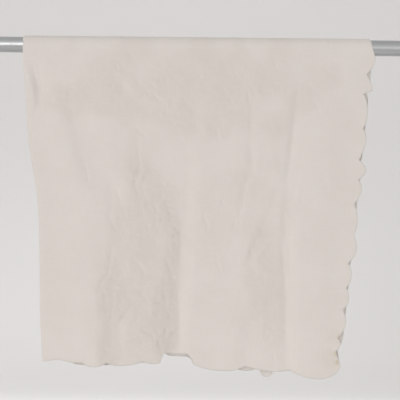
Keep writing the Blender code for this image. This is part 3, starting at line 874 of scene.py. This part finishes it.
@dataclass(frozen=True)
class ClothFinish:
    """The off-white plain weave: its threads, slubs, fine crinkle and stains, with shade painted into its colour
    where it is crumpled and in the gaps at the lower right scallop notches.
    """

    colour: Colour = (0.801, 0.749, 0.707, 1.0)
    # The darker colour for the random mottle and slubs, and also the painted shade of the crumpled places.
    shade: Colour = (0.728, 0.677, 0.631, 1.0)
    stain_and_shade_colour: Colour = (0.640, 0.560, 0.420, 1.0)
    # The first two spots are faint warm stains at the lower right corner, and the third darkens the bottom of the
    # deep valley by the hem's notch. The last three, small and strong, are painted shade in the gaps between the
    # layers at the lower right scallop notches.
    stains_and_shade_spots: tuple[StainAndShadeSpot, ...] = (
        StainAndShadeSpot(0.966, -0.772, 0.036, 0.20), StainAndShadeSpot(0.954, -0.832, 0.050, 0.24), StainAndShadeSpot(0.500, -0.800, 0.030, 0.12),
        StainAndShadeSpot(0.963, -0.815, 0.013, 0.80), StainAndShadeSpot(0.966, -0.836, 0.013, 0.80), StainAndShadeSpot(0.969, -0.768, 0.011, 0.70),
    )  # fmt: skip
    thread_pitch: float = 0.0009
    thread_relief: float = 0.00010
    slub_relief: float = 0.00012
    crinkle_relief: float = 0.0010
    # How strongly the crumple amount paints shade into the colour.
    crumple_painted_shade: float = 0.55
    roughness: float = 0.94
    mottle_scale: float = 9.0
    crinkle_scale: float = 110.0
    warp_slubs: Triple = (700.0, 22.0, 1.0)
    weft_slubs: Triple = (26.0, 620.0, 1.0)
    spot_y: float = -0.025

    def weave(self, bench: NodeBench, u: Socket, v: Socket) -> Socket:
        """The height of a plain weave, where warp and weft threads pass over each other in turn.

        Args:
            bench: the material's nodes.
            u: the place across the cloth.
            v: the place along the cloth.

        Returns:
            The height, from 0 to 1.
        """
        warp = bench.math("SINE", bench.math("MULTIPLY", u, math.pi / self.thread_pitch))
        weft = bench.math("SINE", bench.math("MULTIPLY", v, math.pi / self.thread_pitch))
        over = bench.math("GREATER_THAN", bench.math("MULTIPLY", warp, weft), 0.0)
        high = bench.math("MULTIPLY", bench.math("ABSOLUTE", warp), over)
        low = bench.math("MULTIPLY", bench.math("ABSOLUTE", weft), bench.math("SUBTRACT", 1.0, over))
        return bench.math("ADD", high, low)

    def slubs(self, bench: NodeBench, flat: Socket) -> Socket:
        """Thicker stretches of thread along the warp and the weft, about 0."""
        warp = bench.noise(bench.stretched(flat, self.warp_slubs), 1.0)
        weft = bench.noise(bench.stretched(flat, self.weft_slubs), 1.0)
        return bench.math("SUBTRACT", bench.math("ADD", warp, weft), 1.0)

    def stained_and_shaded(self, bench: NodeBench, place: Socket) -> Socket:
        """How strongly the stains and the painted shade spots tint the cloth at each place, from 0 to 1."""
        total = 0.0
        for spot in self.stains_and_shade_spots:
            away = bench.add("VectorMath", {0: place, 1: (spot.x, self.spot_y, spot.z)}, operation="DISTANCE")
            span = {"Value": away.outputs["Value"], "From Min": spot.reach, "From Max": 0.0}
            span["To Max"] = spot.strength
            near = bench.add("MapRange", span, interpolation_type="SMOOTHSTEP").outputs[0]
            total = bench.math("MAXIMUM", near, total)
        patchy = bench.noise(place, 45.0, 3.0)
        return bench.math("MULTIPLY", total, bench.math("MULTIPLY_ADD", patchy, 3.0, -0.7))

    def build(self) -> bpy.types.Material:
        """Makes the material.

        Returns:
            The material.
        """
        bench = NodeBench("bedspread_cloth")
        flat = bench.add("UVMap", uv_map="flat").outputs[0]
        place = bench.add("TexCoord").outputs["Object"]
        parts = bench.add("SeparateXYZ", {0: flat}).outputs
        slubs = self.slubs(bench, flat)
        mottle = bench.noise(flat, self.mottle_scale, 4.0, roughness=0.6)
        tone = bench.math("MULTIPLY_ADD", slubs, 0.6, bench.math("MULTIPLY_ADD", mottle, 1.0, -0.35))
        # Painted shade: the crumple amount pulls the colour towards the shade colour, standing in for the shade in
        # the fine wrinkles.
        crumple = bench.add("Attribute", attribute_name="crumple").outputs["Fac"]
        tone = bench.math("MULTIPLY_ADD", crumple, self.crumple_painted_shade, tone)
        tone = bench.add("Clamp", {0: tone}).outputs[0]
        stained_and_shaded = bench.add("Clamp", {0: self.stained_and_shaded(bench, place)}).outputs[0]
        # The spots mix in the stain colour: faint stains, and painted shade at the lower right notches.
        colour = bench.mix(stained_and_shaded, bench.mix(tone, self.colour, self.shade), self.stain_and_shade_colour)
        crinkle = bench.noise(flat, self.crinkle_scale, 4.0, roughness=0.5, distortion=0.8)
        height = bench.math("MULTIPLY", self.weave(bench, parts[0], parts[1]), self.thread_relief)
        height = bench.math("MULTIPLY_ADD", slubs, self.slub_relief, height)
        height = bench.math("MULTIPLY_ADD", bench.math("MULTIPLY", crinkle, crumple), self.crinkle_relief, height)
        return bench.finish(
            {
                "Base Color": colour,
                "Roughness": self.roughness,
                "Sheen Weight": 0.18,
                "Sheen Roughness": 0.5,
                "Specular IOR Level": 0.25,
                "Normal": bench.bump(height),
            }
        )


@dataclass(frozen=True)
class ThreadFinish:
    """The twisted cotton thread of the stitched edge."""

    colour: Colour = (0.830, 0.790, 0.755, 1.0)
    shade: Colour = (0.790, 0.745, 0.705, 1.0)
    twist_scale: float = 2600.0
    twist_relief: float = 0.00012

    def build(self) -> bpy.types.Material:
        """Makes the material."""
        bench = NodeBench("edge_thread")
        place = bench.add("TexCoord").outputs["Object"]
        height = bench.math("MULTIPLY", bench.noise(place, self.twist_scale, 1.0), self.twist_relief)
        tone = bench.noise(place, 60.0, 3.0)
        return bench.finish(
            {
                "Base Color": bench.mix(tone, self.colour, self.shade),
                "Roughness": 0.8,
                "Sheen Weight": 0.2,
                "Specular IOR Level": 0.3,
                "Normal": bench.bump(height),
            }
        )


@dataclass(frozen=True)
class RailFinish:
    """Bright plated tube with fine lengthwise drawing marks and a little dulling."""

    colour: Colour = (0.670, 0.690, 0.700, 1.0)
    dull: Colour = (0.580, 0.590, 0.600, 1.0)
    drawing_marks: Triple = (6.0, 1500.0, 1500.0)
    drawing_relief: float = 0.00002

    def build(self) -> bpy.types.Material:
        """Makes the material."""
        bench = NodeBench("bright_rail")
        place = bench.add("TexCoord").outputs["Object"]
        drawn = bench.noise(bench.stretched(place, self.drawing_marks), 1.0, 3.0)
        cloudy = bench.noise(place, 14.0, 4.0)
        height = bench.math("MULTIPLY", drawn, self.drawing_relief)
        spread = bench.math("MULTIPLY_ADD", cloudy, 0.10, 0.20)
        return bench.finish(
            {
                "Base Color": bench.mix(cloudy, self.colour, self.dull),
                "Metallic": 1.0,
                "Roughness": bench.math("MULTIPLY_ADD", drawn, 0.06, spread),
                "Normal": bench.bump(height),
            }
        )


def linked(name: str, data: bpy.types.ID) -> bpy.types.Object:
    """Makes an object from a mesh, a lamp or a camera, and links it to the scene."""
    made = bpy.data.objects.new(name, data)
    bpy.context.scene.collection.objects.link(made)
    return made


def log_size(piece: bpy.types.Object) -> None:
    """Logs how large a piece's mesh is."""
    log.info("%s: %d points, %d faces", piece.name, len(piece.data.vertices), len(piece.data.polygons))


def tube_faces(rings: int, sides: int, first: int = 0) -> list[tuple[int, int, int, int]]:
    """The faces between rings of points.

    Args:
        rings: how many rings there are.
        sides: how many points a ring has.
        first: the index of the first ring's first point.

    Returns:
        The faces, as indices of points.
    """
    faces = []
    for start in range(first, first + (rings - 1) * sides, sides):
        for side in range(sides):
            a, b = start + side, start + (side + 1) % sides
            faces.append((a, b, b + sides, a + sides))
    return faces


def new_object(name: str, points: np.ndarray, faces: list, material: bpy.types.Material | None) -> bpy.types.Object:
    """Makes an object from points and faces.

    Args:
        name: its name.
        points: its points.
        faces: its faces, as lists of indices.
        material: its material.

    Returns:
        The object, linked to the scene.
    """
    mesh = bpy.data.meshes.new(name)
    mesh.from_pydata([tuple(point) for point in points], [], faces)
    if material:
        mesh.materials.append(material)
    mesh.polygons.foreach_set("use_smooth", [True] * len(mesh.polygons))
    return linked(name, mesh)


def applied(piece: bpy.types.Object) -> bpy.types.Object:
    """Turns an object's modifiers into its mesh.

    Args:
        piece: the object.

    Returns:
        The same object with a plain mesh.
    """
    bpy.context.view_layer.update()
    graph = bpy.context.evaluated_depsgraph_get()
    final = piece.evaluated_get(graph)
    mesh = bpy.data.meshes.new_from_object(final, preserve_all_data_layers=True, depsgraph=graph)
    piece.modifiers.clear()
    old, piece.data = piece.data, mesh
    bpy.data.meshes.remove(old)
    mesh.name = piece.name
    return piece


class Bedspread:
    """The bedspread: one cloth, folded double at the left and hung over the rail."""

    def __init__(self, drape: Drape, thickness: float = 0.0007) -> None:
        """Lays out the flat cloth.

        Args:
            drape: how it hangs.
            thickness: the thickness of its weave.
        """
        self.drape = drape
        self.thickness = thickness
        self.flat = FlatCloth(drape)

    def build(self, finish: ClothFinish) -> bpy.types.Object:
        """Makes the cloth.

        Args:
            finish: its finish.

        Returns:
            The finished piece.
        """
        places, faces = self.flat.triangles()
        points, _ = self.drape.place(places[:, 0], places[:, 1])
        piece = new_object("bedspread_cloth", points, faces, finish.build())
        mesh = piece.data
        corners = np.empty(len(mesh.loops), dtype=np.int32)
        mesh.loops.foreach_get("vertex_index", corners)
        mesh.uv_layers.new(name="flat").data.foreach_set("uv", places[corners].astype(np.float32).ravel())
        front = (places[:, 1] < 0) & (places[:, 0] < 0)
        # The crumple amount goes on the mesh for the material, which paints shade by it; away from the front it is
        # an even 0.2.
        amount = np.where(front, self.drape.crumple(points[:, 0], self.drape.drop(places[:, 1])), 0.2)
        mesh.attributes.new("crumple", "FLOAT", "POINT").data.foreach_set("value", amount.astype(np.float32))
        wall = piece.modifiers.new("wall", "SOLIDIFY")
        wall.thickness = self.thickness
        wall.offset = 0.0
        wall.use_even_offset = False
        applied(piece)
        piece.data.set_sharp_from_angle(angle=math.radians(50))
        log_size(piece)
        return piece


class StitchedEdge:
    """The close overcast stitches that bind the cloth's scalloped edge."""

    def __init__(self, drape: Drape, pitch: float = 0.0009, bite: float = 0.0016, thread: float = 0.00052) -> None:
        """Sets the stitches' sizes.

        Args:
            drape: how the cloth hangs.
            pitch: the distance from stitch to stitch.
            bite: how far a stitch reaches into the cloth.
            thread: the radius of the thread.
        """
        self.drape = drape
        self.pitch = pitch
        self.bite = bite
        self.thread = thread
        self.probe = 0.002
        self.rise = 0.00042
        self.sides = 3
        self.unevenness = 0.14

    def edge_path(self) -> bpy.types.Object:
        """The cloth's outline as a closed line, with the directions out of the edge and square to the cloth.

        Returns:
            An object with one loop of edges.
        """
        places = np.array(FlatCloth(self.drape).outline())
        points, normals = self.drape.place(places[:, 0], places[:, 1])
        following, before = np.roll(places, -1, axis=0), np.roll(places, 1, axis=0)
        tangent = following - before
        inwards = places - unit(np.stack([tangent[:, 1], -tangent[:, 0]], axis=1)) * self.probe
        inner, _ = self.drape.place(inwards[:, 0], inwards[:, 1])
        outward = unit(points - inner)
        mesh = bpy.data.meshes.new("edge_path")
        count = len(points)
        mesh.from_pydata([tuple(point) for point in points], [(i, (i + 1) % count) for i in range(count)], [])
        for name, values in (("outward", outward), ("face", normals)):
            layer = mesh.attributes.new(name, "FLOAT_VECTOR", "POINT")
            layer.data.foreach_set("vector", values.astype(np.float32).ravel())
        return linked("edge_stitching", mesh)

    def stitch(self) -> bpy.types.Object:
        """One stitch at the origin: +X out of the cloth's edge, +Z square to the cloth.

        Returns:
            The stitch, a loop of thread round the edge.
        """
        rise, sides, beyond = self.rise, self.sides, 0.0001
        line = ((-self.bite, rise * 0.4), (beyond, rise), (beyond, -rise), (-self.bite, -rise * 0.4))
        points = []
        for index, (x, z) in enumerate(line):
            before, after = line[max(index - 1, 0)], line[min(index + 1, len(line) - 1)]
            along = Vector((after[0] - before[0], 0.0, after[1] - before[1])).normalized()
            out = Vector((-along.z, 0.0, along.x))
            shift = self.pitch * 0.35 * (index / (len(line) - 1) - 0.5)
            for side in range(sides):
                angle = 2.0 * math.pi * (side + 0.5) / sides
                offset = out * math.cos(angle) + Vector((0.0, 1.0, 0.0)) * math.sin(angle)
                points.append(Vector((x, shift, z)) + offset * self.thread)
        return new_object("stitch", points, tube_faces(len(line), sides), None)

    def tree(self, stitch: bpy.types.Object, material: bpy.types.Material) -> bpy.types.NodeTree:
        """The node tree that sets stitches along the path.

        Args:
            stitch: the stitch to repeat.
            material: its material.

        Returns:
            The tree, with the inputs Pitch, Unevenness and Seed.
        """
        tree = bpy.data.node_groups.new("stitches_along_edge", "GeometryNodeTree")
        for name, way, kind in (
            ("Geometry", "INPUT", "Geometry"), ("Pitch", "INPUT", "Float"), ("Unevenness", "INPUT", "Float"),
            ("Seed", "INPUT", "Int"), ("Geometry", "OUTPUT", "Geometry"),
        ):  # fmt: skip
            tree.interface.new_socket(name, in_out=way, socket_type="NodeSocket" + kind)
        nodes, link = tree.nodes, tree.links.new
        given, result = nodes.new("NodeGroupInput").outputs, nodes.new("NodeGroupOutput")
        curve = nodes.new("GeometryNodeMeshToCurve")
        spaced = nodes.new("GeometryNodeResampleCurve")
        spaced.mode = "LENGTH"
        link(given["Geometry"], curve.inputs["Mesh"])
        link(curve.outputs["Curve"], spaced.inputs["Curve"])
        link(given["Pitch"], spaced.inputs["Length"])
        turn = self.turned(tree)
        uneven = nodes.new("FunctionNodeRandomValue")
        uneven.data_type = "FLOAT"
        low, high = nodes.new("ShaderNodeMath"), nodes.new("ShaderNodeMath")
        low.operation, high.operation = "SUBTRACT", "ADD"
        for node, socket in ((low, uneven.inputs[2]), (high, uneven.inputs[3])):
            node.inputs[0].default_value = 1.0
            link(given["Unevenness"], node.inputs[1])
            link(node.outputs[0], socket)
        link(given["Seed"], uneven.inputs["Seed"])
        shape = nodes.new("GeometryNodeObjectInfo")
        shape.inputs["Object"].default_value = stitch
        copies = nodes.new("GeometryNodeInstanceOnPoints")
        link(spaced.outputs["Curve"], copies.inputs["Points"])
        link(shape.outputs["Geometry"], copies.inputs["Instance"])
        link(turn, copies.inputs["Rotation"])
        link(uneven.outputs[1], copies.inputs["Scale"])
        real = nodes.new("GeometryNodeRealizeInstances")
        dressed = nodes.new("GeometryNodeSetMaterial")
        dressed.inputs["Material"].default_value = material
        for node, following in ((copies, real), (real, dressed), (dressed, result)):
            link(node.outputs[0], following.inputs[0])
        return tree

    def turned(self, tree: bpy.types.NodeTree) -> Socket:
        """Adds the nodes that turn a stitch so that it reaches out of the edge, square to the cloth.

        Args:
            tree: the tree to add them to.

        Returns:
            The rotation.
        """
        turn = tree.nodes.new("FunctionNodeAxesToRotation")
        turn.primary_axis, turn.secondary_axis = "X", "Z"
        for name, socket in (("outward", turn.inputs[0]), ("face", turn.inputs[1])):
            named = tree.nodes.new("GeometryNodeInputNamedAttribute")
            named.data_type = "FLOAT_VECTOR"
            named.inputs["Name"].default_value = name
            tree.links.new(named.outputs["Attribute"], socket)
        return turn.outputs[0]

    def build(self, finish: ThreadFinish) -> bpy.types.Object:
        """Makes the stitches.

        Args:
            finish: the thread's finish.

        Returns:
            The finished piece.
        """
        path, stitch = self.edge_path(), self.stitch()
        tree = self.tree(stitch, finish.build())
        modifier = path.modifiers.new("stitches", "NODES")
        modifier.node_group = tree
        sizes = {"Pitch": self.pitch, "Unevenness": self.unevenness, "Seed": STITCH_SEED}
        for item in tree.interface.items_tree:
            if item.in_out == "INPUT" and item.name in sizes:
                modifier[item.identifier] = sizes[item.name]
        applied(path)
        bpy.data.objects.remove(stitch)
        bpy.data.node_groups.remove(tree)
        log_size(path)
        return path


@dataclass(frozen=True)
class Rail:
    """The round rail that the cloth hangs over."""

    radius: float = RAIL_RADIUS
    length: float = 1.2
    chamfer: float = 0.0015
    sides: int = 160
    chamfer_steps: int = 4

    def build(self, finish: RailFinish) -> bpy.types.Object:
        """Makes the rail as one closed round bar along +X.

        Args:
            finish: its finish.

        Returns:
            The finished piece.
        """
        profile = [(0.0, 0.0)]
        for step in range(self.chamfer_steps + 1):
            angle = math.pi / 2 * step / self.chamfer_steps
            inset = self.chamfer * (1.0 - math.sin(angle))
            profile.append((self.chamfer * (1.0 - math.cos(angle)), self.radius - inset))
        profile = profile + [(self.length - x, r) for x, r in profile[::-1]]
        rings = profile[1:-1]
        points = [Vector((0.0, 0.0, 0.0)), Vector((self.length, 0.0, 0.0))]
        for x, r in rings:
            for side in range(self.sides):
                angle = 2.0 * math.pi * side / self.sides
                points.append(Vector((x, r * math.cos(angle), r * math.sin(angle))))
        faces = tube_faces(len(rings), self.sides, 2)
        last = 2 + (len(rings) - 1) * self.sides
        for side in range(self.sides):
            following = (side + 1) % self.sides
            faces.append((0, 2 + following, 2 + side))
            faces.append((1, last + side, last + following))
        piece = new_object("rail_tube", points, faces, finish.build())
        shape = bmesh.new()
        shape.from_mesh(piece.data)
        bmesh.ops.recalc_face_normals(shape, faces=shape.faces)
        for edge in shape.edges:
            edge.smooth = len(edge.link_faces) == 2 and edge.calc_face_angle(0.0) < math.radians(40)
        shape.to_mesh(piece.data)
        shape.free()
        log_size(piece)
        return piece


@dataclass(frozen=True)
class SoftBox:
    """A rectangular soft lamp that faces a point."""

    name: str
    at: Triple
    towards: Triple
    width: float
    height: float
    power: float
    colour: Triple = (1.0, 1.0, 1.0)

    def build(self) -> None:
        """Adds the lamp to the scene."""
        light = bpy.data.lights.new(self.name, "AREA")
        light.shape = "RECTANGLE"
        light.size, light.size_y = self.width, self.height
        light.energy = self.power
        light.color = self.colour
        lamp = linked(self.name, light)
        lamp.location = self.at
        lamp.rotation_euler = (Vector(self.towards) - Vector(self.at)).to_track_quat("-Z", "Y").to_euler()
        lamp.visible_camera = False


@dataclass(frozen=True)
class Studio:
    """A pale floor that sweeps up behind the piece, soft lamps and the camera."""

    middle: Triple = (0.6, 0.0, -0.4099)
    distance: float = 3.0
    frame_width: float = 1.06
    cloth_depth: float = 0.023
    roll: float = 0.0103
    floor_z: float = -1.5
    sweep_start: float = 3.4
    sweep_radius: float = 3.0
    half_width: float = 14.0
    near_end: float = -16.0
    height: float = 9.0
    tone: Colour = (0.812, 0.802, 0.797, 1.0)
    sky: Colour = (1.0, 0.985, 0.975, 1.0)
    sky_strength: float = 0.715
    sky_lean: Triple = (-0.06, -0.04, -0.22)

    def backdrop(self) -> None:
        """Adds the floor and the backdrop as one sheet with a wide curve between them."""
        steps = 24
        line = [(self.near_end, self.floor_z), (0.0, self.floor_z)]
        for step in range(steps + 1):
            angle = math.pi / 2 * step / steps
            y = self.sweep_start + self.sweep_radius * math.sin(angle)
            line.append((y, self.floor_z + self.sweep_radius * (1.0 - math.cos(angle))))
        line.append((self.sweep_start + self.sweep_radius, self.floor_z + self.height))
        points = [(x, y, z) for y, z in line for x in (-self.half_width, self.half_width)]
        faces = [(2 * i, 2 * i + 1, 2 * i + 3, 2 * i + 2) for i in range(len(line) - 1)]
        bench = NodeBench("pale_floor")
        place = bench.add("TexCoord").outputs["Object"]
        faint = bench.noise(place, 1.3, 3.0)
        darker = tuple(0.97 * part for part in self.tone[:3]) + (1.0,)
        material = bench.finish({"Base Color": bench.mix(faint, self.tone, darker), "Roughness": 0.95})
        new_object("pale_backdrop", points, faces, material)

    def sky_light(self) -> None:
        """Sets a pale light all round, a little stronger from the left, the front and below."""
        world = bpy.data.worlds.new("pale_room")
        world.use_nodes = True
        nodes, link = world.node_tree.nodes, world.node_tree.links.new
        way = nodes.new("ShaderNodeTexCoord")
        lean = nodes.new("ShaderNodeVectorMath")
        lean.operation = "DOT_PRODUCT"
        lean.inputs[1].default_value = self.sky_lean
        level = nodes.new("ShaderNodeMath")
        level.operation = "ADD"
        level.inputs[1].default_value = self.sky_strength
        background = nodes["Background"]
        background.inputs["Color"].default_value = self.sky
        link(way.outputs["Generated"], lean.inputs[0])
        link(lean.outputs["Value"], level.inputs[0])
        link(level.outputs[0], background.inputs["Strength"])
        bpy.context.scene.world = world

    def lamps(self) -> None:
        """Adds the soft lamps."""
        warm = (1.0, 0.99, 0.98)
        for lamp in (
            SoftBox("window_left", (-10.4, -7.4, 0.0), (0.6, 0.0, -0.4), 4.8, 2.8, 290.0, warm),
            SoftBox("front_left", (-1.1, -6.0, 0.1), (0.3, 0.0, -0.3), 2.2, 0.35, 8.5, warm),
            SoftBox("front_left_tall", (-1.5, -6.0, 0.6), (0.3, 0.0, -0.3), 2.0, 3.6, 22.0, warm),
            SoftBox("fill_right", (7.6, -8.4, -0.2), (0.9, 0.0, -0.4), 3.0, 2.6, 104.0, warm),
            SoftBox("floor_pool", (0.62, -1.1, -1.2), (0.62, -1.09, -1.5), 1.6, 1.4, 4.4, (1.0, 0.99, 0.97)),
            SoftBox("backdrop_wash", (0.6, 2.6, -1.3), (0.6, 5.6, -1.0), 6.0, 0.5, 22.0),
            SoftBox("sweep_wash", (-0.9, 4.0, 0.3), (-0.9, 4.1, -1.5), 6.0, 1.2, 10.0),
            SoftBox("top_wash", (0.6, 4.0, 2.4), (0.6, 6.4, 1.2), 7.0, 0.6, 4.5),
        ):
            lamp.build()

    def camera(self) -> None:
        """Adds the camera: square to the cloth, turned a little about its own axis."""
        lens = bpy.data.cameras.new("view")
        lens.sensor_width = 36.0
        lens.lens = lens.sensor_width * (self.distance - self.cloth_depth) / self.frame_width
        camera = linked("view", lens)
        right = Vector((math.cos(self.roll), 0.0, math.sin(self.roll)))
        back = Vector((0.0, -1.0, 0.0))
        turn = Matrix((right, back.cross(right), back)).transposed().to_4x4()
        camera.matrix_world = Matrix.Translation(Vector(self.middle) + back * self.distance) @ turn
        bpy.context.scene.camera = camera

    def build(self) -> None:
        """Sets up the whole studio."""
        self.camera()
        self.backdrop()
        self.sky_light()
        self.lamps()
        bpy.context.scene.view_settings.view_transform = "Standard"


def main() -> None:
    """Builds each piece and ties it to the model."""
    drape = Drape()
    rail = Rail().build(RailFinish())
    cloth = Bedspread(drape).build(ClothFinish())
    stitches = StitchedEdge(drape).build(ThreadFinish())
    for piece in (rail, cloth, stitches):
        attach(piece, "root")
    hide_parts("rail")
    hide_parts("bedspread")
    Studio().build()


if __name__ == "__main__":
    logging.basicConfig(level=logging.INFO, format="%(name)s: %(message)s")
    main()
